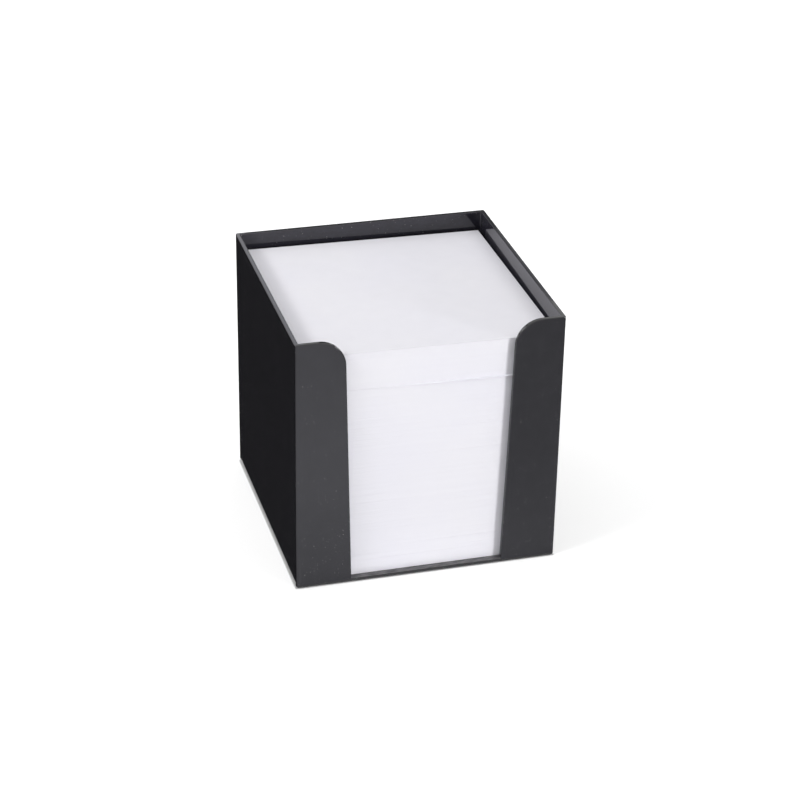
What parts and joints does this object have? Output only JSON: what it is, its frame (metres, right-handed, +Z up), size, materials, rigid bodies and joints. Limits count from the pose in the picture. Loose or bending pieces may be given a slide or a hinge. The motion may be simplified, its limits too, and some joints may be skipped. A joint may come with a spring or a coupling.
{
  "type": "open note box",
  "caption": "Square open-topped plastic note box with a finger slot down its whole front wall, holding a stack of loose square paper notes.",
  "frame": {"origin": "middle of the underside", "axes": "+Z up, the finger slot faces -Y, +X to the right seen from the front"},
  "size_m": [0.095, 0.095, 0.095],
  "materials": {
    "black_plastic": "polished injection-moulded polystyrene",
    "note_paper": "uncoated white 80 g/m2 paper, cut edges"
  },
  "bodies": {
    "holder": {"holder": "black_plastic"},
    "note_block": {"note_lift_01": "note_paper", "note_lift_02": "note_paper", "note_lift_03": "note_paper", "note_lift_04": "note_paper", "note_lift_05": "note_paper", "note_lift_06": "note_paper", "note_lift_07": "note_paper", "note_lift_08": "note_paper", "note_lift_09": "note_paper", "note_lift_10": "note_paper", "note_lift_11": "note_paper", "note_lift_12": "note_paper", "slipped_note_1": "note_paper", "slipped_note_2": "note_paper"},
    "top_note_1": {"top_note_1": "note_paper"},
    "top_note_2": {"top_note_2": "note_paper"},
    "top_note_3": {"top_note_3": "note_paper"},
    "top_note_4": {"top_note_4": "note_paper"},
    "top_note_5": {"top_note_5": "note_paper"}
  },
  "joints": [
    {"name": "note_block_lift", "type": "slide", "parent": "holder", "child": "note_block", "axis": [0, 0, 1], "range_m": [0, 0.098]},
    {"name": "top_note_1_lift", "type": "slide", "parent": "note_block", "child": "top_note_1", "axis": [0, 0, 1], "range_m": [0, 0.02]},
    {"name": "top_note_2_lift", "type": "slide", "parent": "top_note_1", "child": "top_note_2", "axis": [0, 0, 1], "range_m": [0, 0.02]},
    {"name": "top_note_3_lift", "type": "slide", "parent": "top_note_2", "child": "top_note_3", "axis": [0, 0, 1], "range_m": [0, 0.02]},
    {"name": "top_note_4_lift", "type": "slide", "parent": "top_note_3", "child": "top_note_4", "axis": [0, 0, 1], "range_m": [0, 0.02]},
    {"name": "top_note_5_lift", "type": "slide", "parent": "top_note_4", "child": "top_note_5", "axis": [0, 0, 1], "range_m": [0, 0.02]}
  ]
}
